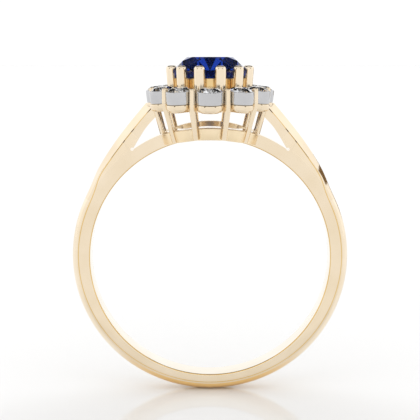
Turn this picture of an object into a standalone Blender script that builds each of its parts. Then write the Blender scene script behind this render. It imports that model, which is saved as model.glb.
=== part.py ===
"""Engagement ring: an oval centre stone in twelve prongs, inside a halo of twelve round stones,
on a half-round shank with cathedral shoulders.

Every separate physical piece is its own object.  The origin is the centre of the finger hole,
the finger axis is Y and the centre stone points up along +Z.  Lengths below are millimetres and
are turned into metres by the MM factor when points are made.
"""
import math

import bmesh
import bpy
from mathutils import Matrix, Vector

MM = 0.001

# ---------------------------------------------------------------- driving dimensions
FINGER_R = 8.65          # US ring size 7
BAND_W = 1.80            # width of the shank along the finger
BAND_HALF = BAND_W / 2
CLEAR = 0.02             # gap left between two pieces that touch
STONES = 12              # stones in the halo, and prongs round the centre stone

# shank
EDGE_R = 0.10            # eased edge between the finger hole and the flat sides
SIDE_R_BOTTOM = 9.27     # radius of the flat side's outer edge at the bottom of the ring
SIDE_R_FLANK = 9.53      # the same at the widest part of the ring
CREST_R_BOTTOM = 9.88    # radius of the crown of the half-round at the bottom
CREST_R_FLANK = 10.00
BRIDGE_R = 9.60          # top of the bridge that closes the circle under the head
BRIDGE_DIP = 0.17        # how much lower the bridge is in the middle, inside the base rail
DIP_START = 73.0         # the dip begins and is complete at these angles above the X axis
DIP_END = 80.0
CROTCH_ANGLE = 55.0      # where the shoulder leaves the bridge, degrees above the X axis
SHOULDER_ANGLE = 24.0    # where the half-round starts to turn into a ridge
DRILL_R = 0.12           # small round end of the window between shoulder and bridge
SEAT_R = 0.96            # hollow in a shoulder's end where it meets a cup
FACET_START = 26.0       # the facet starts as a point on the flank of the half-round
FACET_END = 46.0         # from here up the two facets meet at the crest
DOME_STEPS = 3
FACET_CLEAR = 0.42       # height at which a facet just misses the half-round

# shoulder, right-hand side, as (x, z): the ridge, the edge of the flat side, the underside
RIDGE = [(9.16, 4.06), (8.33, 5.86), (7.64, 7.12), (6.60, 8.64), (5.63, 9.87), (4.30, 11.46)]
SIDE_EDGE = [(8.81, 3.92), (7.96, 5.84), (7.09, 7.19), (5.89, 8.78), (4.93, 9.95), (3.92, 11.10)]
UNDERSIDE = [(5.62, 7.97), (4.63, 9.29), (3.89, 10.14), (3.50, 10.60)]

# head: every ring-shaped piece follows this ellipse, offset in or out
HALO_A = 3.62            # half-axes of the line through the halo stones' centres
HALO_B = 4.98
HALO_TILT = 6.0          # degrees that each cup leans outwards
CUP_R = 0.92
CUP_TOP = 12.12
CUP_BOTTOM = 11.25
CUP_WALL = 0.08
CUP_MIDDLE = (CUP_TOP + CUP_BOTTOM) / 2
STONE_R = 0.83
GIRDLE_Z = 12.08         # girdle height of the halo stones
GALLERY_BOTTOM = 10.70
COLLET_R = 0.90
COLLET_HOLE_R = 0.46
INNER_RING_REACH = 1.26  # inner edge of the gallery, inside the line of the stones
POST_R = 0.21
POST_REACH_FRONT = 0.38  # how far outside the line of two cups' centres a post stands
POST_REACH_SIDE = 0.62
POST_TOP = 12.30
BEND_Z_FRONT = 10.80     # a post leans in below this level at the front of the ring,
BEND_RISE_SIDE = 0.90    # and below a level this much higher at its sides
FOOT_Z = 9.20            # level at which the feet scales below hold
FOOT_SCALE_X = 0.84      # the posts lean in to this share of the halo's width
FOOT_SCALE_Y = 0.905
PRONG_R = 0.375
PRONG_REACH = 0.84       # how far inside the line of two cups' centres a prong stands
PRONG_TUCK = 0.07        # extra for the prongs on the diagonals
PRONG_TOP = 13.80
PRONG_FLARE = 0.13       # how far a prong leans out from the cups to its top
BASE_OVER_R = 9.62       # top of the base rail, about the finger axis
BASE_UNDER_R = 8.82      # underside of the base rail, about the finger axis
RAIL_GROW_X = 1.10       # the rail's line, as a share of the outermost post's reach
RAIL_GROW_Y = 1.03
RAIL_STEPS = 96
RAIL_HOLLOW = 0.26       # hollow behind each post, inwards from the line of the posts
RAIL_LOBE = 0.30         # how far the lobes stand out between the posts
RAIL_WALL = 0.62
POST_GROOVE_R = 0.25     # round hollow in the rail behind each post
RAIL_END_Y = 1.07        # the rail stops here, against the side of the bridge
BASKET_A = 2.23
BASKET_B = 3.42
SEAT_TOP = 12.93
SEAT_BOTTOM = 11.90

# centre stone
GEM_A = 2.50
GEM_B = 3.50
GEM_TABLE_A = 1.56
GEM_TABLE_Z = 14.38
GEM_GIRDLE_TOP = 13.58
GEM_GIRDLE_BOTTOM = 13.48
GEM_CULET_Z = 11.38
GEM_POINT_HALF = 0.30    # half-width of the last section above the culet
GEM_POINT_RISE = 0.22    # and its height above the culet


# ---------------------------------------------------------------- materials
def material(name, colour, metallic, roughness, transmission=0.0, ior=1.45):
    """One Principled material."""
    mat = bpy.data.materials.new(name)
    mat.use_nodes = True
    shader = mat.node_tree.nodes["Principled BSDF"]
    shader.inputs["Base Color"].default_value = (*colour, 1.0)
    shader.inputs["Metallic"].default_value = metallic
    shader.inputs["Roughness"].default_value = roughness
    shader.inputs["Transmission Weight"].default_value = transmission
    shader.inputs["IOR"].default_value = ior
    mat.diffuse_color = (*colour, 1.0)
    return mat


GOLD = (0.83, 0.69, 0.49)
PALE_GOLD = (0.86, 0.73, 0.55)
WHITE_GOLD = (0.60, 0.60, 0.61)
SAPPHIRE_BLUE = (0.01, 0.03, 0.22)
DIAMOND_CLEAR = (0.95, 0.96, 0.98)


# ---------------------------------------------------------------- mesh helpers
def new_object(name, bm, mat, smooth_angle=35.0):
    """Turn a bmesh into a named object in the ring's collection."""
    bmesh.ops.recalc_face_normals(bm, faces=bm.faces)
    if bm.calc_volume(signed=True) < 0:
        bmesh.ops.reverse_faces(bm, faces=bm.faces)
    mesh = bpy.data.meshes.new(name)
    limit = math.radians(smooth_angle)
    for edge in bm.edges:
        edge.smooth = len(edge.link_faces) == 2 and edge.calc_face_angle(math.pi) < limit
    for face in bm.faces:
        face.smooth = True
    bm.to_mesh(mesh)
    bm.free()
    obj = bpy.data.objects.new(name, mesh)
    ring_parts.objects.link(obj)
    mesh.materials.append(mat)
    return obj


def cutter_object(name, bm):
    """A tool for a Boolean: kept out of the ring's own collection."""
    bmesh.ops.recalc_face_normals(bm, faces=bm.faces)
    if bm.calc_volume(signed=True) < 0:
        bmesh.ops.reverse_faces(bm, faces=bm.faces)
    mesh = bpy.data.meshes.new(name)
    bm.to_mesh(mesh)
    bm.free()
    obj = bpy.data.objects.new(name, mesh)
    cutters.objects.link(obj)
    obj.hide_render = True
    obj.display_type = "WIRE"
    return obj


def cut(obj, tool):
    """Subtract the tool from the object."""
    mod = obj.modifiers.new("cut_" + tool.name, "BOOLEAN")
    mod.operation = "DIFFERENCE"
    mod.solver = "EXACT"
    mod.object = tool


def add_ring(bm, points):
    """Vertices of one closed section, given in millimetres."""
    return [bm.verts.new(Vector(p) * MM) for p in points]


def skin(bm, first, second):
    """Quads between two closed sections with the same number of points."""
    count = len(first)
    for i in range(count):
        j = (i + 1) % count
        bm.faces.new((first[i], first[j], second[j], second[i]))


def stack(bm, rings):
    """A solid through a list of closed sections."""
    made = [add_ring(bm, ring) for ring in rings]
    for lower, upper in zip(made, made[1:]):
        skin(bm, lower, upper)
    bm.faces.new(made[0])
    bm.faces.new(made[-1])


def revolve(bm, profile, centre, segments):
    """A closed (radius, z) profile turned about the vertical through centre."""
    columns = []
    for i in range(segments):
        angle = math.tau * i / segments
        columns.append(add_ring(bm, [(centre[0] + r * math.cos(angle),
                                      centre[1] + r * math.sin(angle), z) for r, z in profile]))
    for i in range(segments):
        skin(bm, columns[i], columns[(i + 1) % segments])


def circle(centre, radius, z, segments, start=0.0):
    """Points of a horizontal circle."""
    return [(centre[0] + radius * math.cos(start + math.tau * i / segments),
             centre[1] + radius * math.sin(start + math.tau * i / segments), z)
            for i in range(segments)]


# ---------------------------------------------------------------- the halo ellipse
def arc_positions(count):
    """Ellipse parameters at equal arc lengths, the first one at +X."""
    fine = 7200
    lengths = [0.0]
    for i in range(1, fine + 1):
        a0 = math.tau * (i - 1) / fine
        a1 = math.tau * i / fine
        lengths.append(lengths[-1] + math.hypot(HALO_A * (math.cos(a1) - math.cos(a0)),
                                                HALO_B * (math.sin(a1) - math.sin(a0))))
    found = []
    step = 0
    for k in range(count):
        target = lengths[-1] * k / count
        while lengths[step] < target:
            step += 1
        found.append(math.tau * step / fine)
    return found


def halo_point(t, offset=0.0, a=HALO_A, b=HALO_B):
    """Point on the ellipse at parameter t, moved outwards along its normal by offset."""
    nx = math.cos(t) / a
    ny = math.sin(t) / b
    size = math.hypot(nx, ny)
    return (a * math.cos(t) + offset * nx / size, b * math.sin(t) + offset * ny / size)


STONE_TURNS = arc_positions(2 * STONES)[0::2]


def between_cups(index, reach):
    """Point level with the gap between two neighbouring cups, moved out by reach."""
    x0, y0 = halo_point(STONE_TURNS[index])
    x1, y1 = halo_point(STONE_TURNS[(index + 1) % STONES])
    pitch = math.dist((x0, y0), (x1, y1))
    return ((x0 + x1) / 2 + (y1 - y0) / pitch * reach, (y0 + y1) / 2 - (x1 - x0) / pitch * reach)


def post_place(index):
    """Where a post stands beside the cups."""
    turn = math.tau * (index + 0.5) / STONES
    side = math.cos(turn) ** 2
    return between_cups(index, POST_REACH_FRONT + (POST_REACH_SIDE - POST_REACH_FRONT) * side)


def prong_place(index):
    """Where a prong stands inside the halo."""
    turn = math.tau * (index + 0.5) / STONES
    return between_cups(index, -PRONG_REACH - PRONG_TUCK * math.sin(2 * turn) ** 4)


def outward(index):
    """Outward normal of the halo at a stone."""
    x0, y0 = halo_point(STONE_TURNS[index])
    x1, y1 = halo_point(STONE_TURNS[index], 1.0)
    return (x1 - x0, y1 - y0)


def tilt_matrix(index):
    """Sets a piece made round the Z axis into its place in the halo, leaning outwards."""
    x, y = halo_point(STONE_TURNS[index])
    nx, ny = outward(index)
    lean = Matrix.Rotation(math.radians(HALO_TILT), 4, Vector((-ny, nx, 0.0)))
    return Matrix.Translation(Vector((x, y, CUP_MIDDLE)) * MM) @ lean


def oval(half_x, half_y, z, segments):
    """Points of a horizontal ellipse."""
    return [(half_x * math.cos(math.tau * i / segments),
             half_y * math.sin(math.tau * i / segments), z) for i in range(segments)]


def tube_ring(bm, outer_top, outer_bottom, inner_bottom, inner_top):
    """A closed ring-shaped solid from its four edge loops."""
    loops = [add_ring(bm, loop) for loop in (outer_top, outer_bottom, inner_bottom, inner_top)]
    for k in range(4):
        skin(bm, loops[k], loops[(k + 1) % 4])


# ---------------------------------------------------------------- shank
def blend(a, b, f):
    return a + (b - a) * f


def smoothstep(value, low, high):
    f = min(1.0, max(0.0, (value - low) / (high - low)))
    return f * f * (3.0 - 2.0 * f)


def along(points, f):
    """Catmull-Rom position at share f of a list of (x, z) points."""
    spans = len(points) - 1
    place = min(max(f, 0.0), 1.0) * spans
    k = min(int(place), spans - 1)
    u = place - k
    p1 = points[k]
    p2 = points[k + 1]
    p0 = points[k - 1] if k > 0 else (2 * p1[0] - p2[0], 2 * p1[1] - p2[1])
    p3 = points[k + 2] if k + 2 <= spans else (2 * p2[0] - p1[0], 2 * p2[1] - p1[1])
    out = []
    for c in (0, 1):
        out.append(0.5 * (2 * p1[c] + (p2[c] - p0[c]) * u
                          + (2 * p0[c] - 5 * p1[c] + 4 * p2[c] - p3[c]) * u * u
                          + (3 * p1[c] - p0[c] - 3 * p2[c] + p3[c]) * u ** 3))
    return tuple(out)


def polar(radius, degrees):
    return (radius * math.cos(math.radians(degrees)), radius * math.sin(math.radians(degrees)))


def crossing(points, degrees):
    """Where a shoulder line crosses the ray at this angle."""
    low = 0.0
    high = 1.0
    for _ in range(40):
        mid = (low + high) / 2
        x, z = along(points, mid)
        if math.degrees(math.atan2(z, x)) < degrees:
            low = mid
        else:
            high = mid
    return along(points, low)


def band_lines(degrees):
    """Edge of the flat side and crest of the outside, as (x, z), at an angle of the hoop."""
    rise = smoothstep(degrees, -90.0, 10.0)
    side = polar(blend(SIDE_R_BOTTOM, SIDE_R_FLANK, rise), degrees)
    crest = polar(blend(CREST_R_BOTTOM, CREST_R_FLANK, rise), degrees)
    f = smoothstep(degrees, SHOULDER_ANGLE, SHOULDER_ANGLE + 14.0)
    if f > 0.0:
        side_line = crossing(SIDE_EDGE, degrees)
        ridge_line = crossing(RIDGE, degrees)
        side = (blend(side[0], side_line[0], f), blend(side[1], side_line[1], f))
        crest = (blend(crest[0], ridge_line[0], f), blend(crest[1], ridge_line[1], f))
    return side, crest


def outer_row(side, crest, ridge):
    """Points from the front flat's edge over the crest to the back flat's edge.

    The outside is a half-round with a flat facet planed off each flank: ridge 0 leaves the
    half-round whole, and at ridge 1 the two facets meet at the crest.
    """
    row = []
    for k in range(2 * DOME_STEPS + 1):
        y = math.sin((k / DOME_STEPS - 1.0) * math.pi / 2)
        half_round = math.sqrt(max(0.0, 1.0 - abs(y) ** 2.2))
        facet = 1.0 - abs(y) + FACET_CLEAR * (1.0 - ridge)
        height = min(half_round, facet)
        row.append((blend(side[0], crest[0], height), BAND_HALF * y,
                    blend(side[1], crest[1], height)))
    return row


def inner_row(degrees):
    """Points across the finger side, from the back flat to the front flat."""
    ease = EDGE_R * (1.0 - math.sqrt(0.5))
    spots = [(FINGER_R + EDGE_R, BAND_HALF), (FINGER_R + ease, BAND_HALF - ease),
             (FINGER_R, BAND_HALF - EDGE_R)]
    spots += [(r, -y) for r, y in reversed(spots)]
    row = []
    for r, y in spots:
        x, z = polar(r, degrees)
        row.append((x, y, z))
    return row


def build_shank(mat):
    """Half-round hoop, bridge and both shoulders, made as a right half and mirrored."""
    bm = bmesh.new()
    rows = []
    steps = 42
    for i in range(steps + 1):
        f = i / steps
        degrees = -90.0 + f * (CROTCH_ANGLE + 90.0)
        side, crest = band_lines(degrees)
        ridge = min(1.0, max(0.0, (degrees - FACET_START) / (FACET_END - FACET_START)))
        inner = add_ring(bm, inner_row(degrees))
        mid_x, mid_z = polar(BRIDGE_R, degrees)
        if f < 1.0:
            mid_x, mid_z = polar(min(math.hypot(*side) - 0.08, BRIDGE_R), degrees)
        mid_back = bm.verts.new(Vector((mid_x, BAND_HALF, mid_z)) * MM)
        mid_front = bm.verts.new(Vector((mid_x, -BAND_HALF, mid_z)) * MM)
        outer = add_ring(bm, outer_row(side, crest, ridge))
        rows.append((inner, mid_front, outer, mid_back))
    for low, high in zip(rows, rows[1:]):
        skin(bm, low[0] + [low[1]] + low[2] + [low[3]],
             high[0] + [high[1]] + high[2] + [high[3]])
    crotch_inner, crotch_front, crotch_outer, crotch_back = rows[-1]

    # bridge, from the crotch to the middle of the ring
    last = crotch_inner + [crotch_front, crotch_back]
    bridge_steps = 14
    for i in range(1, bridge_steps + 1):
        degrees = blend(CROTCH_ANGLE, 90.0, i / bridge_steps)
        ring = add_ring(bm, inner_row(degrees))
        x, z = polar(BRIDGE_R - BRIDGE_DIP * smoothstep(degrees, DIP_START, DIP_END), degrees)
        if i == bridge_steps:
            x = 0.0
            for vert in ring:
                vert.co.x = 0.0
        ring.append(bm.verts.new(Vector((x, -BAND_HALF, z)) * MM))
        ring.append(bm.verts.new(Vector((x, BAND_HALF, z)) * MM))
        skin(bm, last, ring)
        last = ring

    # shoulder arm, from the crotch up to the halo
    last = [crotch_front] + crotch_outer + [crotch_back]
    start_side, start_crest = band_lines(CROTCH_ANGLE)
    side_points = [start_side] + [p for p in SIDE_EDGE if p[1] > start_side[1] + 0.4]
    ridge_points = [start_crest] + [p for p in RIDGE if p[1] > start_crest[1] + 0.4]
    arm_steps = 9
    for i in range(1, arm_steps + 1):
        f = i / arm_steps
        side = along(side_points, f)
        crest = along(ridge_points, f)
        under = along([polar(BRIDGE_R, CROTCH_ANGLE)] + UNDERSIDE[1:], f)
        ring = [bm.verts.new(Vector((under[0], -BAND_HALF, under[1])) * MM)]
        ring += add_ring(bm, outer_row(side, crest, 1.0))
        ring.append(bm.verts.new(Vector((under[0], BAND_HALF, under[1])) * MM))
        skin(bm, last, ring)
        last = ring
    bm.faces.new(last)

    # the mirror plane is x = 0, where the lowest and highest sections lie
    for vert in rows[0][0] + [rows[0][1]] + rows[0][2] + [rows[0][3]]:
        vert.co.x = 0.0
    half = list(bm.verts) + list(bm.edges) + list(bm.faces)
    copy = bmesh.ops.duplicate(bm, geom=half)["geom"]
    for item in copy:
        if isinstance(item, bmesh.types.BMVert):
            item.co.x = -item.co.x
    bmesh.ops.reverse_faces(bm, faces=[item for item in copy if isinstance(item, bmesh.types.BMFace)])
    bmesh.ops.remove_doubles(bm, verts=bm.verts, dist=1e-7)
    shank = new_object("shank", bm, mat, 28.0)

    # seats for the two halo cups the shoulders meet, and the drilled ends of the windows
    for name, direction in (("right", 0.0), ("left", math.pi)):
        bm = bmesh.new()
        index = 0 if direction == 0.0 else STONES // 2
        stack(bm, [circle((0, 0), SEAT_R, GALLERY_BOTTOM - 0.06 - CUP_MIDDLE, 40),
                   circle((0, 0), SEAT_R, 0.9, 40)])
        bmesh.ops.transform(bm, matrix=tilt_matrix(index), verts=bm.verts)
        cut(shank, cutter_object("cup_seat_" + name, bm))
        bm = bmesh.new()
        x, z = polar(BRIDGE_R + 0.05, CROTCH_ANGLE)
        sign = math.cos(direction)
        hole = [[(sign * x + DRILL_R * math.cos(math.tau * k / 16), y,
                  z + DRILL_R * math.sin(math.tau * k / 16)) for k in range(16)]
                for y in (-BAND_W, BAND_W)]
        stack(bm, hole)
        cut(shank, cutter_object("window_drill_" + name, bm))
    return shank


# ---------------------------------------------------------------- posts and base rail
def bend_height(t):
    """Where a post starts to lean in: higher at the sides of the ring than at the front."""
    return BEND_Z_FRONT + BEND_RISE_SIDE * abs(math.cos(t)) ** 3


def lean_scale(t, z):
    """Shares of the width and depth left at height z."""
    bend = bend_height(t)
    f = max(0.0, (bend - z) / (bend - FOOT_Z))
    return (1.0 - (1.0 - FOOT_SCALE_X) * f, 1.0 - (1.0 - FOOT_SCALE_Y) * f)


def post_centre(index, z):
    x, y = post_place(index)
    sx, sy = lean_scale(math.atan2(y, x), z)
    return (x * sx, y * sy)


def stands_on_bridge(index):
    """True for the four posts at the sides, which end on the bridge and the rail's ends."""
    x, y = post_centre(index, BASE_UNDER_R)
    return abs(y) < BAND_HALF + POST_R + 0.1


def build_base_rail(name, facing, mat):
    """Half of the scalloped rail, its top and underside following the finger circle."""
    feet = [post_place(k) for k in range(STONES)]
    post_a = max(abs(x) for x, y in feet) * RAIL_GROW_X
    post_b = max(abs(y) for x, y in feet) * RAIL_GROW_Y
    turns = sorted(math.atan2(y / post_b, x / post_a) % math.tau for x, y in feet)

    def lobe(t):
        """0 at a post, 1 half-way between two posts, round between."""
        place = t % math.tau
        for low, high in zip(turns, turns[1:] + [turns[0] + math.tau]):
            if place < turns[0]:
                place += math.tau
            if low <= place <= high:
                return math.sqrt(max(0.0, 1.0 - (2.0 * (place - low) / (high - low) - 1.0) ** 2))
        return 0.0

    def clear_of_posts(t, inset, half_x, half_y, z):
        """The inset, made deep enough for the wall to pass behind the posts."""
        on_line = Vector(halo_point(t, 0.0, half_x, half_y))
        normal = Vector(halo_point(t, 1.0, half_x, half_y)) - on_line
        for k in range(STONES):
            if stands_on_bridge(k):
                continue
            away = on_line - Vector(post_centre(k, z))
            along_normal = away.dot(normal)
            inside = along_normal ** 2 - away.length_squared + POST_GROOVE_R ** 2
            if inside > 0.0 and away.length < 1.0:
                inset = max(inset, along_normal + math.sqrt(inside))
        return inset

    def level_point(t, inset, radius):
        """Point of the rail's wall where it crosses a cylinder about the finger axis."""
        z = radius
        x = 0.0
        for _ in range(6):
            sx, sy = lean_scale(t, z)
            room = clear_of_posts(t, inset, post_a * sx, post_b * sy, z)
            x, y = halo_point(t, -room, post_a * sx, post_b * sy)
            z = math.sqrt(radius * radius - x * x)
        return (x, y, z)

    end = math.asin(RAIL_END_Y / (post_b * FOOT_SCALE_Y))
    start = math.pi + end if facing < 0 else end
    bm = bmesh.new()
    rings = []
    for i in range(RAIL_STEPS + 1):
        t = start + (math.pi - 2 * end) * i / RAIL_STEPS
        swell = RAIL_LOBE * lobe(t)
        outer = RAIL_HOLLOW - swell
        inner = RAIL_HOLLOW + RAIL_WALL - 0.4 * swell
        rings.append([level_point(t, outer, BASE_UNDER_R),
                      level_point(t, outer, BASE_OVER_R - 0.06),
                      level_point(t, outer + 0.06, BASE_OVER_R),
                      level_point(t, inner, BASE_OVER_R),
                      level_point(t, inner, BASE_UNDER_R)])
    stack(bm, rings)
    return new_object(name, bm, mat, 32.0)


# ---------------------------------------------------------------- gallery
def lobed_outline(radius, segments):
    """Outer edge of twelve overlapping discs of this radius set on the halo ellipse."""
    points = []
    centres = [halo_point(t) for t in STONE_TURNS]
    for i in range(segments):
        t = math.tau * i / segments
        bx, by = halo_point(t)
        nx, ny = halo_point(t, 1.0)
        dx = nx - bx
        dy = ny - by
        best = 0.0
        for cx, cy in centres:
            # distance along the normal to the far side of this disc
            px = bx - cx
            py = by - cy
            half_b = px * dx + py * dy
            c = px * px + py * py - radius * radius
            disc = half_b * half_b - c
            if disc > 0.0:
                best = max(best, -half_b + math.sqrt(disc))
        points.append((bx + dx * best, by + dy * best))
    return points


def build_gallery(mat):
    """Twelve bowl-shaped collets in one plate, with an inner ring that carries the prongs."""
    segments = 132
    slope = math.tan(math.radians(HALO_TILT))
    centres = [halo_point(t) for t in STONE_TURNS]

    def tilted(points, z):
        """Lift the points to a plane that leans out with the nearest stone."""
        loop = []
        for x, y in points:
            k = min(range(STONES), key=lambda n: math.dist((x, y), centres[n]))
            nx, ny = outward(k)
            away = (x - centres[k][0]) * nx + (y - centres[k][1]) * ny
            loop.append((x, y, z - slope * away))
        return loop

    inner = [halo_point(math.tau * i / segments, -INNER_RING_REACH)
             for i in range(segments)]
    top_z = CUP_BOTTOM - CLEAR
    levels = [(top_z, 1.0), (top_z - 0.22, 0.98), (top_z - 0.40, 0.90), (GALLERY_BOTTOM, 0.74)]
    bm = bmesh.new()
    loops = [add_ring(bm, tilted(lobed_outline(COLLET_R * size, segments), z))
             for z, size in levels]
    loops.append(add_ring(bm, tilted(inner, GALLERY_BOTTOM)))
    loops.append(add_ring(bm, tilted(inner, top_z)))
    for k in range(len(loops)):
        skin(bm, loops[k], loops[(k + 1) % len(loops)])
    gallery = new_object("halo_gallery", bm, mat, 40.0)
    bm = bmesh.new()
    for index in range(STONES):
        hole = bmesh.new()
        stack(hole, [circle((0, 0), COLLET_HOLE_R, -1.0, 14),
                     circle((0, 0), COLLET_HOLE_R, -0.25, 14)])
        bmesh.ops.transform(hole, matrix=tilt_matrix(index), verts=hole.verts)
        mesh = bpy.data.meshes.new("hole")
        hole.to_mesh(mesh)
        hole.free()
        bm.from_mesh(mesh)
        bpy.data.meshes.remove(mesh)
    cut(gallery, cutter_object("collet_holes", bm))
    return gallery


# ---------------------------------------------------------------- repeated pieces
def build_post(index, mat):
    """Round gold post: upright beside the cups, leaning in to the base rail below."""
    foot_r = BASE_OVER_R + CLEAR if stands_on_bridge(index) else BASE_UNDER_R + 0.06
    x_foot, y_foot = post_centre(index, foot_r)
    foot_z = math.sqrt(foot_r ** 2 - x_foot * x_foot)
    x, y = post_place(index)
    bend = bend_height(math.atan2(y, x))
    bm = bmesh.new()
    foot = circle(post_centre(index, foot_z), POST_R * 0.90, foot_z, 10)
    rings = [[(px, py, math.sqrt(foot_r ** 2 - px * px)) for px, py, pz in foot]]
    levels = [(blend(foot_z, bend, 0.15), 0.90), (blend(foot_z, bend, 0.6), 0.92),
              (bend, 1.0), (POST_TOP - 0.10, 1.0), (POST_TOP - 0.03, 0.82), (POST_TOP, 0.45)]
    for z, size in levels:
        rings.append(circle(post_centre(index, z), POST_R * size, z, 10))
    stack(bm, rings)
    return new_object("halo_post_%02d" % (index + 1), bm, mat, 50.0)


def build_cup(index, mat):
    """White-metal cup with a bright rim and a tapered seat for a round stone."""
    low = CUP_BOTTOM - CUP_MIDDLE
    high = CUP_TOP - CUP_MIDDLE
    wall = CUP_R - CUP_WALL
    seat = GIRDLE_Z - CUP_MIDDLE
    hole = COLLET_HOLE_R
    profile = [(CUP_R - 0.04, low), (CUP_R, low + 0.07), (CUP_R, high - 0.04),
               (CUP_R - 0.03, high), (wall + 0.01, high), (wall, seat - 0.09),
               (hole, low + 0.16), (hole, low)]
    bm = bmesh.new()
    revolve(bm, profile, (0.0, 0.0), 22)
    bmesh.ops.transform(bm, matrix=tilt_matrix(index), verts=bm.verts)
    return new_object("halo_cup_%02d" % (index + 1), bm, mat, 40.0)


def build_diamond(index, mat):
    """Round brilliant: flat table, crown, thin girdle and pointed pavilion."""
    seat = GIRDLE_Z - CUP_MIDDLE
    bm = bmesh.new()
    table = add_ring(bm, circle((0, 0), STONE_R * 0.56, seat + 0.30, 16))
    upper = add_ring(bm, circle((0, 0), STONE_R, seat + 0.02, 16))
    lower = add_ring(bm, circle((0, 0), STONE_R, seat - 0.02, 16))
    culet = bm.verts.new(Vector((0.0, 0.0, seat - 0.68)) * MM)
    bm.faces.new(table)
    skin(bm, table, upper)
    skin(bm, upper, lower)
    for k in range(16):
        bm.faces.new((lower[k], lower[(k + 1) % 16], culet))
    bmesh.ops.transform(bm, matrix=tilt_matrix(index), verts=bm.verts)
    return new_object("halo_diamond_%02d" % (index + 1), bm, mat, 3.0)


def gem_rings(grow, segments):
    """Sections of the oval stone from table to just above the culet, grown by a clearance."""
    step = GEM_B - GEM_A
    levels = [(GEM_TABLE_A, GEM_TABLE_Z), (GEM_A, GEM_GIRDLE_TOP), (GEM_A, GEM_GIRDLE_BOTTOM),
              (GEM_POINT_HALF, GEM_CULET_Z + GEM_POINT_RISE)]
    rings = []
    for half, z in levels:
        ratio = (half + step) if half > GEM_TABLE_A - 0.01 else half * GEM_B / GEM_A
        rings.append(oval(half + grow, ratio + grow, z, segments))
    return rings


def build_sapphire(mat):
    """Oval mixed-cut stone."""
    segments = 32
    bm = bmesh.new()
    made = [add_ring(bm, ring) for ring in gem_rings(0.0, segments)]
    bm.faces.new(made[0])
    for first, second in zip(made, made[1:]):
        skin(bm, first, second)
    culet = bm.verts.new(Vector((0.0, 0.0, GEM_CULET_Z)) * MM)
    for k in range(segments):
        bm.faces.new((made[-1][k], made[-1][(k + 1) % segments], culet))
    return new_object("sapphire", bm, mat, 3.0)


def build_seat_tool():
    """The stone grown by the clearance: it cuts the bearing in every prong."""
    bm = bmesh.new()
    stack(bm, gem_rings(CLEAR, 48))
    return cutter_object("stone_bearing", bm)


def build_prong(index, mat, tool):
    """Round-topped prong standing on the gallery in the notch between two cups."""
    foot_z = CUP_BOTTOM + 0.17
    foot_x, foot_y = prong_place(index)
    reach = math.hypot(foot_x, foot_y)
    bm = bmesh.new()
    rings = []
    height = PRONG_TOP - foot_z
    levels = [(foot_z, 0.94), (foot_z + 0.06, 1.0), (CUP_TOP, 1.0), (PRONG_TOP - 0.26, 1.0),
              (PRONG_TOP - 0.14, 0.90), (PRONG_TOP - 0.05, 0.66), (PRONG_TOP, 0.30)]
    for z, size in levels:
        lean = PRONG_FLARE * max(0.0, z - CUP_TOP) / (PRONG_TOP - CUP_TOP)
        centre = (foot_x * (1.0 + lean / reach), foot_y * (1.0 + lean / reach))
        rings.append(circle(centre, PRONG_R * size, z, 12))
    stack(bm, rings)
    prong = new_object("centre_prong_%02d" % (index + 1), bm, mat, 50.0)
    cut(prong, tool)
    return prong


def build_basket(mat):
    """Seat rail inside the prongs, tapered to the underside of the centre stone."""
    segments = 72
    slope = (GEM_GIRDLE_BOTTOM - GEM_CULET_Z - GEM_POINT_RISE) / (GEM_A - GEM_POINT_HALF)

    def stone_half(z):
        """Half-width of the stone's pavilion at height z."""
        return GEM_A - (GEM_GIRDLE_BOTTOM - z) / slope

    def inner_loop(z):
        half = stone_half(z) + 0.05
        share = (GEM_GIRDLE_BOTTOM - z) / (GEM_GIRDLE_BOTTOM - GEM_CULET_Z - GEM_POINT_RISE)
        long_half = blend(GEM_B, GEM_POINT_HALF * GEM_B / GEM_A, share) + 0.05
        return oval(half, long_half, z, segments)

    bm = bmesh.new()
    low_inner = inner_loop(SEAT_TOP - 0.42)
    tube_ring(bm, oval(BASKET_A, BASKET_B, SEAT_TOP, segments),
              oval(BASKET_A - 0.05, BASKET_B - 0.05, SEAT_BOTTOM, segments),
              [(x, y, SEAT_BOTTOM) for x, y, _ in low_inner],
              inner_loop(SEAT_TOP))
    return new_object("centre_basket", bm, mat, 40.0)


# ---------------------------------------------------------------- assembly
for old in list(bpy.data.objects):
    bpy.data.objects.remove(old, do_unlink=True)

ring_parts = bpy.data.collections.new("engagement_ring")
bpy.context.scene.collection.children.link(ring_parts)
cutters = bpy.data.collections.new("ring_cutters")
bpy.context.scene.collection.children.link(cutters)

build_shank(material("shank_gold", GOLD, 1.0, 0.12))
build_base_rail("base_rail_front", -1, material("front_rail_gold", GOLD, 1.0, 0.16))
build_base_rail("base_rail_back", 1, material("back_rail_gold", GOLD, 1.0, 0.16))
build_gallery(material("gallery_gold", GOLD, 1.0, 0.16))
build_basket(material("basket_gold", PALE_GOLD, 1.0, 0.18))
bearing = build_seat_tool()
for number in range(STONES):
    label = "%02d" % (number + 1)
    build_post(number, material("post_gold_" + label, GOLD, 1.0, 0.14))
    build_cup(number, material("cup_white_gold_" + label, WHITE_GOLD, 1.0, 0.10))
    build_diamond(number, material("diamond_" + label, DIAMOND_CLEAR, 0.0, 0.02, 1.0, 2.42))
    build_prong(number, material("prong_gold_" + label, PALE_GOLD, 1.0, 0.12), bearing)
build_sapphire(material("sapphire_blue", SAPPHIRE_BLUE, 0.0, 0.03, 0.7, 1.77))
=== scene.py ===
"""Looks for the engagement ring: polished yellow gold, white-gold cups, round brilliants and an
oval blue sapphire, standing on a glossy pale floor in soft studio light.

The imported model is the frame.  Each piece below is a finer copy of one CAD node: it repeats that
node's dimensions or reads them from its box.  Lengths are millimetres unless a name ends in _M.
"""
import math

import bmesh
import bpy
from mathutils import Matrix, Vector


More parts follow.
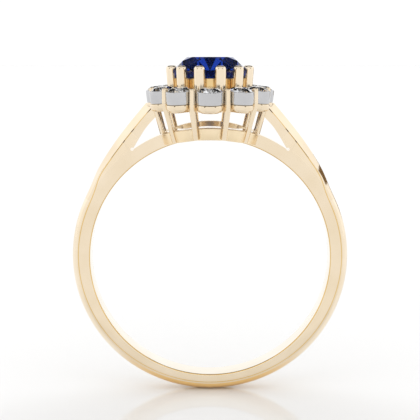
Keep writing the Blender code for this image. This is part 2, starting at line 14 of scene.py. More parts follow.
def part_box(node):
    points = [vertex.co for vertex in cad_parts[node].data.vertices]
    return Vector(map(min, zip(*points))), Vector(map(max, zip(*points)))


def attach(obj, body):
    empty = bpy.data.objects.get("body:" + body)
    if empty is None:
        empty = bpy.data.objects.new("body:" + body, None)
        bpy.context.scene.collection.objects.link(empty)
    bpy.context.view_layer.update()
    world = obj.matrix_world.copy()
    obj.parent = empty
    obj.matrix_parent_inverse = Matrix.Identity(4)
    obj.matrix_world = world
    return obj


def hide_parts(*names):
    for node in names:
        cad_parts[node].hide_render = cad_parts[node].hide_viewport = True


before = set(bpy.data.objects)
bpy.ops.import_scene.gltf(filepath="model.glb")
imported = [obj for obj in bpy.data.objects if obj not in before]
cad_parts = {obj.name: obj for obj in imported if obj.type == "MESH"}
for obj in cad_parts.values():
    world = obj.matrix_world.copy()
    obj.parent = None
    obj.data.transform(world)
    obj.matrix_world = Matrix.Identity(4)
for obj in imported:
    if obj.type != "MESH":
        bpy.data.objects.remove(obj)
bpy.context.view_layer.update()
MM = 0.001


# ---------------------------------------------------------------- camera
CAMERA_PLACE = (0.0, -72.07, 14.25)
CAMERA_PITCH = 8.55
CAMERA_LENS = 86.2

camera_data = bpy.data.cameras.new("camera")
camera_data.lens = CAMERA_LENS
camera_data.sensor_width = 36.0
camera_data.clip_start = 0.005
camera_data.clip_end = 10.0
camera = bpy.data.objects.new("camera", camera_data)
bpy.context.scene.collection.objects.link(camera)
camera.location = Vector(CAMERA_PLACE) * MM
camera.rotation_euler = (math.radians(90.0 - CAMERA_PITCH), 0.0, 0.0)
bpy.context.scene.camera = camera


# ---------------------------------------------------------------- sizes shared by the pieces
CLEAR = 0.02             # gap left between two pieces that touch
STONES = 12              # stones in the halo, and prongs round the centre stone

# shank
FINGER_R = 8.65          # US ring size 7
BAND_HALF = 0.90         # half the width of the shank along the finger
EDGE_R = 0.10            # eased edge between the finger hole and the flat sides
EDGE_STEPS = 5
SIDE_R_BOTTOM = 9.27     # radius of the flat side's outer edge at the bottom of the ring
SIDE_R_FLANK = 9.53      # the same at the widest part of the ring
CREST_R_BOTTOM = 9.88    # radius of the crown of the half-round at the bottom
CREST_R_FLANK = 10.00
DOME_POWER = 2.2         # a little fuller than a true half-round
DOME_STEPS = 30
BRIDGE_R = 9.60          # top of the bridge that closes the circle under the head
BRIDGE_DIP = 0.17        # how much lower the bridge is in the middle, inside the base rail
DIP_START = 73.0         # the dip begins and is complete at these angles above the X axis
DIP_END = 80.0
CROTCH_ANGLE = 55.0      # where the shoulder leaves the bridge, degrees above the X axis
SHOULDER_ANGLE = 24.0    # where the half-round starts to turn into a ridge
SHOULDER_TURN = 14.0     # and the degrees it takes
DRILL_R = 0.12           # small round end of the window between shoulder and bridge
SEAT_R = 0.96            # hollow in a shoulder's end where it meets a cup
FACET_START = 26.0       # the facet starts as a point on the flank of the half-round
FACET_END = 46.0         # from here up the two facets meet at the crest
FACET_CLEAR = 0.42       # height at which a facet just misses the half-round
ARRIS_WIDTH = 0.07       # bevelled strip along the outer edge of the flat sides
ARRIS_DEPTH = 0.03
SIDE_SPLIT = 0.08        # the flat sides have a row of points this far inside their edge
LINE_GAP = 0.4           # height above the crotch from which the shoulder's own points are used
HOOP_STEPS = 150
BRIDGE_STEPS = 36
ARM_STEPS = 40

# shoulder, right-hand side, as (x, z): the ridge, the edge of the flat side, the underside
RIDGE = [(9.16, 4.06), (8.33, 5.86), (7.64, 7.12), (6.60, 8.64), (5.63, 9.87), (4.30, 11.46)]
SIDE_EDGE = [(8.81, 3.92), (7.96, 5.84), (7.09, 7.19), (5.89, 8.78), (4.93, 9.95), (3.92, 11.10)]
UNDERSIDE = [(5.62, 7.97), (4.63, 9.29), (3.89, 10.14), (3.50, 10.60)]

# halo
HALO_TILT = 6.0          # degrees that each cup leans outwards
CUP_R = 0.92
CUP_HALF_HEIGHT = 0.435
CUP_WALL = 0.08
CUP_EASE = 0.03          # rounding of the cup's corners
STONE_R = 0.83
GIRDLE_ABOVE_CUP_MIDDLE = 0.395
GALLERY_BOTTOM = 10.70
GALLERY_SEGMENTS = 528
COLLET_R = 0.90
COLLET_HOLE_R = 0.46
INNER_RING_REACH = 1.26  # inner edge of the gallery, inside the line of the stones

# posts and base rail
POST_R = 0.21
POST_FOOT = 0.90         # share of the radius left at the foot
POST_TIP = 0.16          # height of the rounded top
POST_REACH_FRONT = 0.38  # how far outside the line of two cups' centres a post stands
POST_REACH_SIDE = 0.62
BEND_Z_FRONT = 10.80     # a post leans in below this level at the front of the ring,
BEND_RISE_SIDE = 0.90    # and below a level this much higher at its sides
FOOT_Z = 9.20            # level at which the foot scales below hold
FOOT_SCALE_X = 0.84      # the posts lean in to this share of the halo's width
FOOT_SCALE_Y = 0.905
BASE_OVER_R = 9.62       # top of the base rail, about the finger axis
BASE_UNDER_R = 8.82      # underside of the base rail, about the finger axis
RAIL_GROW_X = 1.10       # the rail's line, as a share of the outermost post's reach
RAIL_GROW_Y = 1.03
RAIL_STEPS = 240
RAIL_HOLLOW = 0.26       # hollow behind each post, inwards from the line of the posts
RAIL_LOBE = 0.30         # how far the lobes stand out between the posts
RAIL_WALL = 0.62
RAIL_EASE = 0.06         # rounded upper edge
RAIL_END_Y = 1.07        # the rail stops here, against the side of the bridge
POST_GROOVE_R = 0.24     # round hollow in the rail behind each post

# centre stone, its prongs and its seat
GEM_GIRDLE_Z = 13.53
GEM_PAVILION_TOP = 13.48
GEM_TABLE_SHARE = 0.625
GEM_POINT_HALF = (0.30, 0.42)   # half-widths of the stone just above its point
GEM_POINT_RISE = 0.22
BEARING_HALF = 0.07      # half-height of the cut in the prongs at the girdle
PRONG_R = 0.375
PRONG_TIP = 0.28
PRONG_REACH = 0.84       # how far inside the line of two cups' centres a prong stands
PRONG_TUCK = 0.07        # extra for the prongs on the diagonals
PRONG_FLARE = 0.13       # how far a prong leans out from the cups to its top
SEAT_GAP = 0.05          # from the stone to the seat rail
SEAT_DEPTH = 0.42        # height of the seat rail's leaning inside


def node_centre(node):
    """Centre of a CAD node's box, in millimetres."""
    low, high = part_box(node)
    return (Vector(low) + Vector(high)) * 0.5 / MM


def node_low(node):
    """Lowest corner of a CAD node's box, in millimetres."""
    return Vector(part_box(node)[0]) / MM


def node_high(node):
    """Highest corner of a CAD node's box, in millimetres."""
    return Vector(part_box(node)[1]) / MM


# ---------------------------------------------------------------- material helpers
# Painted shade: between these heights the gold deepens towards the bottom of the hoop.
PAINTED_SHADE_START_Z = -6.5      # the deeper gold comes in from here down,
PAINTED_SHADE_FULL_Z = -9.4       # and is complete here
WEAR_FINENESS = 3.1      # polish marks and hairlines, as multiples of the colour drift's scale
HAIR_FINENESS = 7.0
HAIR_STRETCH = (1.0, 9.0, 1.0)
RELIEF_M = 0.00002


def new_material(name):
    """A new material, its nodes, its links and its Principled BSDF."""
    mat = bpy.data.materials.new(name)
    mat.use_nodes = True
    return mat, mat.node_tree.nodes, mat.node_tree.links, mat.node_tree.nodes["Principled BSDF"]


def ramp(nodes, stops):
    """A colour ramp from (position, colour) stops."""
    node = nodes.new("ShaderNodeValToRGB")
    while len(node.color_ramp.elements) < len(stops):
        node.color_ramp.elements.new(0.5)
    for element, (place, colour) in zip(node.color_ramp.elements, stops):
        element.position = place
        element.color = (*colour, 1.0)
    return node


def noise(nodes, links, vector, scale, detail=3.0, roughness=0.5):
    """A noise texture read at the given coordinates."""
    node = nodes.new("ShaderNodeTexNoise")
    node.inputs["Scale"].default_value = scale
    node.inputs["Detail"].default_value = detail
    node.inputs["Roughness"].default_value = roughness
    links.new(vector, node.inputs["Vector"])
    return node


def stretched(nodes, links, vector, scale):
    """The coordinates, scaled by axis."""
    node = nodes.new("ShaderNodeMapping")
    node.inputs["Scale"].default_value = scale
    links.new(vector, node.inputs["Vector"])
    return node.outputs["Vector"]


def painted_shade_below(nodes, links, place, tint, painted_shade_colour):
    """The tint, going over to a deeper colour at the bottom of the hoop: painted shade for the darker
    floor reflected near where the hoop rests.
    """
    split = nodes.new("ShaderNodeSeparateXYZ")
    links.new(place, split.inputs["Vector"])
    share = nodes.new("ShaderNodeMapRange")
    share.interpolation_type = "SMOOTHSTEP"
    share.inputs["From Min"].default_value = PAINTED_SHADE_START_Z * MM
    share.inputs["From Max"].default_value = PAINTED_SHADE_FULL_Z * MM
    links.new(split.outputs["Z"], share.inputs["Value"])
    mix = nodes.new("ShaderNodeMix")
    mix.data_type = "RGBA"
    links.new(share.outputs["Result"], mix.inputs["Factor"])
    links.new(tint.outputs["Color"], mix.inputs["A"])
    mix.inputs["B"].default_value = (*painted_shade_colour, 1.0)
    return mix.outputs["Result"]


def metal(name, dark, mid, light, rough_low, rough_high, bump=0.02, scratch=0.5, polish_scale=420.0,
          painted_glow=0.0, painted_shade_colour=None):
    """Polished precious metal: slow colour drift, fine handling scratches and uneven polish.

    Its emission is a faint painted glow in the dark tint, light that no lamp gives, and the optional
    deeper colour is painted shade at the bottom of the hoop.
    """
    mat, nodes, links, shader = new_material(name)
    shader.inputs["Metallic"].default_value = 1.0
    # Painted glow: the metal gives off a little light of its own dark tint.
    shader.inputs["Emission Color"].default_value = (*dark, 1.0)
    shader.inputs["Emission Strength"].default_value = painted_glow
    place = nodes.new("ShaderNodeTexCoord").outputs["Object"]
    drift = noise(nodes, links, place, polish_scale, 4.0, 0.55)
    tint = ramp(nodes, [(0.28, dark), (0.52, mid), (0.78, light)])
    links.new(drift.outputs["Fac"], tint.inputs["Fac"])
    # Painted shade: the optional deeper colour takes over towards the bottom of the hoop.
    if painted_shade_colour is None:
        links.new(tint.outputs["Color"], shader.inputs["Base Color"])
    else:
        links.new(painted_shade_below(nodes, links, place, tint, painted_shade_colour), shader.inputs["Base Color"])
    wear = noise(nodes, links, place, polish_scale * WEAR_FINENESS, 5.0, 0.62)
    hair = noise(nodes, links, stretched(nodes, links, place, HAIR_STRETCH),
                 polish_scale * HAIR_FINENESS, 2.0, 0.5)
    both = nodes.new("ShaderNodeMath")
    both.operation = "MULTIPLY_ADD"
    both.inputs[1].default_value = scratch
    links.new(hair.outputs["Fac"], both.inputs[0])
    links.new(wear.outputs["Fac"], both.inputs[2])
    spread = nodes.new("ShaderNodeMapRange")
    spread.inputs["From Min"].default_value = 0.35
    spread.inputs["From Max"].default_value = 1.15
    spread.inputs["To Min"].default_value = rough_low
    spread.inputs["To Max"].default_value = rough_high
    links.new(both.outputs[0], spread.inputs["Value"])
    links.new(spread.outputs["Result"], shader.inputs["Roughness"])
    relief = nodes.new("ShaderNodeBump")
    relief.inputs["Strength"].default_value = bump
    relief.inputs["Distance"].default_value = RELIEF_M
    links.new(both.outputs[0], relief.inputs["Height"])
    links.new(relief.outputs["Normal"], shader.inputs["Normal"])
    return mat


def gem(name, tint_low, tint_high, ior, gloss, rough, zone_scale):
    """Clear faceted stone with faint colour zoning; gloss scales its mirror reflection."""
    mat, nodes, links, shader = new_material(name)
    shader.inputs["Transmission Weight"].default_value = 1.0
    shader.inputs["IOR"].default_value = ior
    shader.inputs["Specular Tint"].default_value = (gloss, gloss, gloss, 1.0)
    place = nodes.new("ShaderNodeTexCoord").outputs["Object"]
    zones = noise(nodes, links, place, zone_scale, 3.0, 0.5)
    tint = ramp(nodes, [(0.35, tint_low), (0.68, tint_high)])
    links.new(zones.outputs["Fac"], tint.inputs["Fac"])
    links.new(tint.outputs["Color"], shader.inputs["Base Color"])
    polish = noise(nodes, links, place, zone_scale * 8.0, 4.0, 0.6)
    spread = nodes.new("ShaderNodeMapRange")
    spread.inputs["To Min"].default_value = rough * 0.4
    spread.inputs["To Max"].default_value = rough
    links.new(polish.outputs["Fac"], spread.inputs["Value"])
    links.new(spread.outputs["Result"], shader.inputs["Roughness"])
    return mat


# Each yellow gold below glows faintly through its emission: painted light, not a lamp.
GOLD = metal("polished_yellow_gold", (0.80, 0.665, 0.475), (0.83, 0.70, 0.52), (0.86, 0.735, 0.565),
             0.04, 0.11, painted_glow=0.04)
# A lighter copy of the gold for the half-round dome: painted highlight, deepening to painted shade at
# the bottom of the hoop.
DOME_GOLD_PAINTED_LIGHT_AND_SHADE = metal("domed_gold_painted_light_and_shade", (0.84, 0.71, 0.53), (0.87, 0.75, 0.58), (0.90, 0.79, 0.64),
                  0.04, 0.11, painted_glow=0.04, painted_shade_colour=(0.86, 0.58, 0.24))
# A darker copy of the gold for the eased edges: painted dark reflection along the edges.
EDGE_GOLD_PAINTED_DARK_REFLECTION = metal("edge_gold_painted_dark_reflection", (0.68, 0.46, 0.18), (0.72, 0.50, 0.21), (0.78, 0.56, 0.27),
                  0.06, 0.14, painted_glow=0.04)
# A lighter copy of the gold for the finger hole: painted highlight, the bore's bright reflection.
BORE_GOLD_PAINTED_HIGHLIGHT = metal("bore_gold_painted_highlight", (0.87, 0.80, 0.68), (0.90, 0.84, 0.73), (0.93, 0.88, 0.79),
                  0.03, 0.09, painted_glow=0.04)
# A darker, deeper copy of the gold for the seat rail under the stone: painted shade.
SEAT_GOLD_PAINTED_SHADE = metal("seat_gold_painted_shade", (0.70, 0.49, 0.22), (0.76, 0.55, 0.27), (0.82, 0.62, 0.34),
                  0.10, 0.22, 0.06, painted_glow=0.06)
SATIN_GOLD = metal("satin_yellow_gold", (0.82, 0.67, 0.44), (0.86, 0.71, 0.49), (0.90, 0.76, 0.55),
                   0.24, 0.36, painted_glow=0.10)
PALE_GOLD = metal("prong_yellow_gold", (0.83, 0.70, 0.51), (0.86, 0.735, 0.56), (0.89, 0.77, 0.61),
                  0.05, 0.14, painted_glow=0.04)
# White gold made greyer than it is: painted dark reflection, for the darker centres of the cups.
WHITE_GOLD_PAINTED_REFLECTION = metal("rhodium_white_gold_painted_reflection", (0.54, 0.54, 0.55), (0.58, 0.58, 0.59), (0.64, 0.64, 0.65),
                   0.08, 0.20, 0.05)
SAPPHIRE = gem("blue_sapphire", (0.009, 0.034, 0.29), (0.014, 0.048, 0.35), 1.77, 0.0,
               0.03, 500.0)
DIAMOND = gem("clear_diamond", (0.93, 0.95, 0.98), (0.98, 0.98, 0.99), 2.42, 1.0,
              0.01, 900.0)


# ---------------------------------------------------------------- mesh helpers
def finish_mesh(name, bm, mat, smooth_angle=35.0):
    """Turn a bmesh into a named object, smooth except over edges sharper than the angle."""
    bmesh.ops.recalc_face_normals(bm, faces=bm.faces)
    if bm.calc_volume(signed=True) < 0:
        bmesh.ops.reverse_faces(bm, faces=bm.faces)
    limit = math.radians(smooth_angle)
    for edge in bm.edges:
        edge.smooth = len(edge.link_faces) == 2 and edge.calc_face_angle(math.pi) < limit
    for face in bm.faces:
        face.smooth = smooth_angle > 0.0
    mesh = bpy.data.meshes.new(name)
    bm.to_mesh(mesh)
    bm.free()
    mesh.materials.append(mat)
    obj = bpy.data.objects.new(name, mesh)
    bpy.context.scene.collection.objects.link(obj)
    return obj


def put(obj, node):
    """The piece stands in for a CAD node, which it hides, and rides with the ring."""
    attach(obj, "root")
    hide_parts(node)


def add_ring(bm, points):
    """Vertices of one closed section, given in millimetres."""
    return [bm.verts.new(Vector(p) * MM) for p in points]


def skin(bm, first, second):
    """Quads between two closed sections with the same number of points."""
    count = len(first)
    for i in range(count):
        j = (i + 1) % count
        bm.faces.new((first[i], first[j], second[j], second[i]))


def stack(bm, rings):
    """A solid through a list of closed sections."""
    made = [add_ring(bm, ring) for ring in rings]
    for lower, upper in zip(made, made[1:]):
        skin(bm, lower, upper)
    bm.faces.new(made[0])
    bm.faces.new(made[-1])


def tube(bm, loops):
    """A closed ring-shaped solid through a list of loops, the last one joined to the first."""
    made = [add_ring(bm, loop) for loop in loops]
    for k in range(len(made)):
        skin(bm, made[k], made[(k + 1) % len(made)])


def circle(centre, radius, z, segments):
    """Points of a horizontal circle."""
    return [(centre[0] + radius * math.cos(math.tau * i / segments),
             centre[1] + radius * math.sin(math.tau * i / segments), z)
            for i in range(segments)]


def oval(half_x, half_y, z, segments):
    """Points of a horizontal ellipse."""
    return [(half_x * math.cos(math.tau * i / segments),
             half_y * math.sin(math.tau * i / segments), z) for i in range(segments)]


def revolve(bm, profile, segments):
    """A closed (radius, z) profile turned about the Z axis."""
    columns = []
    for i in range(segments):
        angle = math.tau * i / segments
        columns.append(add_ring(bm, [(r * math.cos(angle), r * math.sin(angle), z)
                                     for r, z in profile]))
    for i in range(segments):
        skin(bm, columns[i], columns[(i + 1) % segments])


def rounded(profile, radius, steps=4):
    """A closed (r, z) profile with every corner eased."""
    out = []
    count = len(profile)
    for i in range(count):
        corner = Vector(profile[i])
        before = Vector(profile[i - 1]) - corner
        after = Vector(profile[(i + 1) % count]) - corner
        size = min(radius, before.length * 0.45, after.length * 0.45)
        start = corner + before.normalized() * size
        end = corner + after.normalized() * size
        for k in range(steps + 1):
            f = k / steps
            a = start.lerp(corner, f)
            b = corner.lerp(end, f)
            out.append(tuple(a.lerp(b, f)))
    return out


def cut_by(obj, tool):
    """Apply an exact subtraction and remove the tool."""
    mod = obj.modifiers.new("cut", "BOOLEAN")
    mod.operation = "DIFFERENCE"
    mod.solver = "EXACT"
    mod.object = tool
    bpy.context.view_layer.update()
    mesh = bpy.data.meshes.new_from_object(
        obj.evaluated_get(bpy.context.evaluated_depsgraph_get()))
    obj.modifiers.clear()
    obj.data = mesh
    bpy.data.objects.remove(tool)


def tool_object(bm):
    """A bmesh as an object for cut_by."""
    bmesh.ops.recalc_face_normals(bm, faces=bm.faces)
    mesh = bpy.data.meshes.new("tool")
    bm.to_mesh(mesh)
    bm.free()
    obj = bpy.data.objects.new("tool", mesh)
    bpy.context.scene.collection.objects.link(obj)
    return obj


# ---------------------------------------------------------------- places round the halo
CUP_PLACES = {n: node_centre("halo_cup_%02d" % n) for n in range(1, STONES + 1)}
CUP_MIDDLE = CUP_PLACES[1].z
HALO_A = CUP_PLACES[1].x
HALO_B = CUP_PLACES[4].y


def halo_point(t, offset=0.0, a=HALO_A, b=HALO_B):
    """Point on the halo's ellipse, moved outwards along its normal by offset."""
    nx = math.cos(t) / a
    ny = math.sin(t) / b
    size = math.hypot(nx, ny)
    return (a * math.cos(t) + offset * nx / size, b * math.sin(t) + offset * ny / size)


def outward(number):
    """Outward normal of the halo at a cup."""
    place = CUP_PLACES[number]
    normal = Vector((place.x / HALO_A ** 2, place.y / HALO_B ** 2, 0.0))
    return normal.normalized()


def tilt_matrix(number):
    """Sets a piece made round the Z axis into its place in the halo, leaning outwards."""
    normal = outward(number)
    lean = Matrix.Rotation(math.radians(HALO_TILT), 4, Vector((-normal.y, normal.x, 0.0)))
    return Matrix.Translation(CUP_PLACES[number] * MM) @ lean


def between_cups(number, reach):
    """Point level with the gap between two neighbouring cups, moved out by reach."""
    first = CUP_PLACES[number]
    second = CUP_PLACES[number % STONES + 1]
    chord = second - first
    pitch = math.hypot(chord.x, chord.y)
    middle = (first + second) / 2
    return (middle.x + chord.y / pitch * reach, middle.y - chord.x / pitch * reach)


def post_place(number):
    """Where a post stands beside the cups."""
    side = math.cos(math.tau * (number - 0.5) / STONES) ** 2
    return between_cups(number, POST_REACH_FRONT + (POST_REACH_SIDE - POST_REACH_FRONT) * side)


def prong_place(number):
    """Where a prong stands inside the halo."""
    turn = math.tau * (number - 0.5) / STONES
    return between_cups(number, -PRONG_REACH - PRONG_TUCK * math.sin(2 * turn) ** 4)


def bend_height(t):
    """Where a post starts to lean in: higher at the sides of the ring than at the front."""
    return BEND_Z_FRONT + BEND_RISE_SIDE * abs(math.cos(t)) ** 3


def lean_scale(t, z):
    """Shares of the head's width and depth left at height z."""
    bend = bend_height(t)
    f = max(0.0, (bend - z) / (bend - FOOT_Z))
    return (1.0 - (1.0 - FOOT_SCALE_X) * f, 1.0 - (1.0 - FOOT_SCALE_Y) * f)


# ---------------------------------------------------------------- shank
def blend(a, b, f):
    """The value a share f of the way from a to b."""
    return a + (b - a) * f


def smoothstep(value, low, high):
    """0 below low, 1 above high, with an eased rise between."""
    f = min(1.0, max(0.0, (value - low) / (high - low)))
    return f * f * (3.0 - 2.0 * f)


def along(points, f):
    """Catmull-Rom position at share f of a list of (x, z) points."""
    spans = len(points) - 1
    place = min(max(f, 0.0), 1.0) * spans
    k = min(int(place), spans - 1)
    u = place - k
    p1 = points[k]
    p2 = points[k + 1]
    p0 = points[k - 1] if k > 0 else (2 * p1[0] - p2[0], 2 * p1[1] - p2[1])
    p3 = points[k + 2] if k + 2 <= spans else (2 * p2[0] - p1[0], 2 * p2[1] - p1[1])
    return tuple(0.5 * (2 * p1[c] + (p2[c] - p0[c]) * u
                        + (2 * p0[c] - 5 * p1[c] + 4 * p2[c] - p3[c]) * u * u
                        + (3 * p1[c] - p0[c] - 3 * p2[c] + p3[c]) * u ** 3) for c in (0, 1))


def polar(radius, degrees):
    """(x, z) at a radius and an angle above the X axis."""
    return (radius * math.cos(math.radians(degrees)), radius * math.sin(math.radians(degrees)))


def crossing(points, degrees):
    """Where a shoulder line crosses the ray at this angle."""
    low = 0.0
    high = 1.0
    for _ in range(40):
        mid = (low + high) / 2
        x, z = along(points, mid)
        if math.degrees(math.atan2(z, x)) < degrees:
            low = mid
        else:
            high = mid
    return along(points, low)


def band_lines(degrees):
    """Edge of the flat side, and crest of the outside, at an angle of the hoop."""
    rise = smoothstep(degrees, -90.0, 10.0)
    side = polar(blend(SIDE_R_BOTTOM, SIDE_R_FLANK, rise), degrees)
    crest = polar(blend(CREST_R_BOTTOM, CREST_R_FLANK, rise), degrees)
    f = smoothstep(degrees, SHOULDER_ANGLE, SHOULDER_ANGLE + SHOULDER_TURN)
    if f > 0.0:
        side_line = crossing(SIDE_EDGE, degrees)
        ridge_line = crossing(RIDGE, degrees)
        side = (blend(side[0], side_line[0], f), blend(side[1], side_line[1], f))
        crest = (blend(crest[0], ridge_line[0], f), blend(crest[1], ridge_line[1], f))
    return side, crest


def outer_row(side, crest, ridge):
    """Across the outside: a half-round with a facet planed off each flank as ridge goes to 1."""
    row = []
    for k in range(2 * DOME_STEPS + 1):
        y = math.sin((k / DOME_STEPS - 1.0) * math.pi / 2)
        half_round = math.sqrt(max(0.0, 1.0 - abs(y) ** DOME_POWER))
        height = min(half_round, 1.0 - abs(y) + FACET_CLEAR * (1.0 - ridge))
        row.append((blend(side[0], crest[0], height), (BAND_HALF - ARRIS_DEPTH) * y,
                    blend(side[1], crest[1], height)))
    share = -ARRIS_WIDTH / math.hypot(crest[0] - side[0], crest[1] - side[1])
    edge = (blend(side[0], crest[0], share), blend(side[1], crest[1], share))
    return [(edge[0], -BAND_HALF, edge[1])] + row + [(edge[0], BAND_HALF, edge[1])]


def inner_row(degrees):
    """Across the finger side, from the back flat to the front flat, with eased edges."""
    spots = []
    for k in range(EDGE_STEPS + 1):
        a = math.radians(90.0 * k / EDGE_STEPS)
        spots.append((FINGER_R + EDGE_R * (1.0 - math.sin(a)),
                      BAND_HALF - EDGE_R * (1.0 - math.cos(a))))
    spots += [(r, -y) for r, y in reversed(spots)]
    return [(polar(r, degrees)[0], y, polar(r, degrees)[1]) for r, y in spots]


SHANK_METALS = [GOLD, BORE_GOLD_PAINTED_HIGHLIGHT, DOME_GOLD_PAINTED_LIGHT_AND_SHADE, EDGE_GOLD_PAINTED_DARK_REFLECTION]
FLAT_SIDE = 0.97         # |normal.y| above this is a flat side of the band
TILTED_FROM = 0.30       # and from this up to it, an eased edge


def shank_metal(face):
    """The metal for a face of the shank: painted highlight in the bore, painted dark reflection on the
    eased edges, painted highlight and shade on the dome, or the plain gold.
    """
    x, y, z = face.center / MM
    radius = math.hypot(x, z)
    inset = BAND_HALF - abs(y)
    lean = abs(face.normal.y)
    tilted = TILTED_FROM < lean < FLAT_SIDE
    if radius < FINGER_R + EDGE_R and tilted and inset < 0.6 * EDGE_R:
        return EDGE_GOLD_PAINTED_DARK_REFLECTION
    if radius < FINGER_R + EDGE_R and lean <= FLAT_SIDE:
        return BORE_GOLD_PAINTED_HIGHLIGHT
    if radius > SIDE_R_BOTTOM - 0.1 and tilted and 0.0 < inset < ARRIS_DEPTH:
        return EDGE_GOLD_PAINTED_DARK_REFLECTION
    if (radius > SIDE_R_BOTTOM and lean < FLAT_SIDE
            and math.degrees(math.atan2(z, abs(x))) < FACET_START):
        return DOME_GOLD_PAINTED_LIGHT_AND_SHADE
    return GOLD


def make_shank():
    """Half-round hoop, bridge and both shoulders, made as a right half and mirrored."""
    bm = bmesh.new()
    rows = []
    for i in range(HOOP_STEPS + 1):
        f = i / HOOP_STEPS
        degrees = -90.0 + f * (CROTCH_ANGLE + 90.0)
        side, crest = band_lines(degrees)
        ridge = min(1.0, max(0.0, (degrees - FACET_START) / (FACET_END - FACET_START)))
        inner = add_ring(bm, inner_row(degrees))
        if f < 1.0:
            mid_x, mid_z = polar(min(math.hypot(*side) - SIDE_SPLIT, BRIDGE_R), degrees)
        else:
            mid_x, mid_z = polar(BRIDGE_R, degrees)
        front = bm.verts.new(Vector((mid_x, -BAND_HALF, mid_z)) * MM)
        back = bm.verts.new(Vector((mid_x, BAND_HALF, mid_z)) * MM)
        rows.append((inner, front, add_ring(bm, outer_row(side, crest, ridge)), back))
    for low, high in zip(rows, rows[1:]):
        skin(bm, low[0] + [low[1]] + low[2] + [low[3]], high[0] + [high[1]] + high[2] + [high[3]])
    crotch_inner, crotch_front, crotch_outer, crotch_back = rows[-1]

    # bridge, from the crotch to the middle of the ring
    last = crotch_inner + [crotch_front, crotch_back]
    for i in range(1, BRIDGE_STEPS + 1):
        degrees = blend(CROTCH_ANGLE, 90.0, i / BRIDGE_STEPS)
        ring = add_ring(bm, inner_row(degrees))
        x, z = polar(BRIDGE_R - BRIDGE_DIP * smoothstep(degrees, DIP_START, DIP_END), degrees)
        ring.append(bm.verts.new(Vector((x, -BAND_HALF, z)) * MM))
        ring.append(bm.verts.new(Vector((x, BAND_HALF, z)) * MM))
        skin(bm, last, ring)
        last = ring
    for vert in last:
        vert.co.x = 0.0

    # shoulder arm, from the crotch up to the halo
    last = [crotch_front] + crotch_outer + [crotch_back]
    start_side, start_crest = band_lines(CROTCH_ANGLE)
    side_points = [start_side] + [p for p in SIDE_EDGE if p[1] > start_side[1] + LINE_GAP]
    ridge_points = [start_crest] + [p for p in RIDGE if p[1] > start_crest[1] + LINE_GAP]
    under_points = [polar(BRIDGE_R, CROTCH_ANGLE)] + UNDERSIDE[1:]
    for i in range(1, ARM_STEPS + 1):
        f = i / ARM_STEPS
        under = along(under_points, f)
        ring = [bm.verts.new(Vector((under[0], -BAND_HALF, under[1])) * MM)]
        ring += add_ring(bm, outer_row(along(side_points, f), along(ridge_points, f), 1.0))
        ring.append(bm.verts.new(Vector((under[0], BAND_HALF, under[1])) * MM))
        skin(bm, last, ring)
        last = ring
    bm.faces.new(last)

    # the mirror plane is x = 0, where the lowest and highest sections lie
    for vert in rows[0][0] + [rows[0][1]] + rows[0][2] + [rows[0][3]]:
        vert.co.x = 0.0
    half = list(bm.verts) + list(bm.edges) + list(bm.faces)
    copy = bmesh.ops.duplicate(bm, geom=half)["geom"]
    for item in copy:
        if isinstance(item, bmesh.types.BMVert):
            item.co.x = -item.co.x
    bmesh.ops.reverse_faces(bm, faces=[item for item in copy if isinstance(item, bmesh.types.BMFace)])
    bmesh.ops.remove_doubles(bm, verts=bm.verts, dist=1e-7)
    shank = finish_mesh("shank_detail", bm, GOLD, 24.0)
    for metal_used in SHANK_METALS[1:]:
        shank.data.materials.append(metal_used)
    for face in shank.data.polygons:
        face.material_index = SHANK_METALS.index(shank_metal(face))

    # seats for the two halo cups the shoulders meet, and the drilled ends of the windows
    for number, sign in ((1, 1.0), (STONES // 2 + 1, -1.0)):
        bm = bmesh.new()
        stack(bm, [circle((0, 0), SEAT_R, node_low("halo_gallery").z - CUP_MIDDLE, 96),
                   circle((0, 0), SEAT_R, 0.9, 96)])
        bmesh.ops.transform(bm, matrix=tilt_matrix(number), verts=bm.verts)
        cut_by(shank, tool_object(bm))
        bm = bmesh.new()
        x, z = polar(BRIDGE_R + 0.05, CROTCH_ANGLE)
        stack(bm, [[(sign * x + DRILL_R * math.cos(math.tau * k / 40), y,
                     z + DRILL_R * math.sin(math.tau * k / 40)) for k in range(40)]
                   for y in (-2 * BAND_HALF, 2 * BAND_HALF)])
        cut_by(shank, tool_object(bm))
    put(shank, "shank")


make_shank()


# ---------------------------------------------------------------- faceted stones
def cut_stone(planes, half):
    """A convex faceted solid: a block cut by one plane per facet."""
    bm = bmesh.new()
    bmesh.ops.create_cube(bm, size=2.0 * half)
    for point, normal in planes:
        geom = list(bm.verts) + list(bm.edges) + list(bm.faces)
        done = bmesh.ops.bisect_plane(bm, geom=geom, dist=1e-5, plane_co=point, plane_no=normal,
                                      clear_outer=True)
        rim = [item for item in done["geom_cut"] if isinstance(item, bmesh.types.BMEdge)]
        if len(rim) > 2:
            bmesh.ops.edgeloop_fill(bm, edges=rim)
    return bm


def facet(angle, slope, reach, z):
    """A plane that leans back by slope degrees and passes (reach, z) in the direction of angle."""
    s = math.radians(slope)
    normal = Vector((math.cos(angle) * math.sin(s), math.sin(angle) * math.sin(s), math.cos(s)))
    return Vector((math.cos(angle) * reach, math.sin(angle) * reach, z)), normal


MAINS = 8                # main facets on the crown, and on the pavilion
STAR_SLOPE = 0.62        # slope of the star facets, as a share of the main facets'
STAR_REACH = 0.985
UPPER_HALF_STEEPER = 6.5
LOWER_HALF_STEEPER = 2.2
GIRDLE_TOP = 0.02
GIRDLE_BOTTOM = -0.03


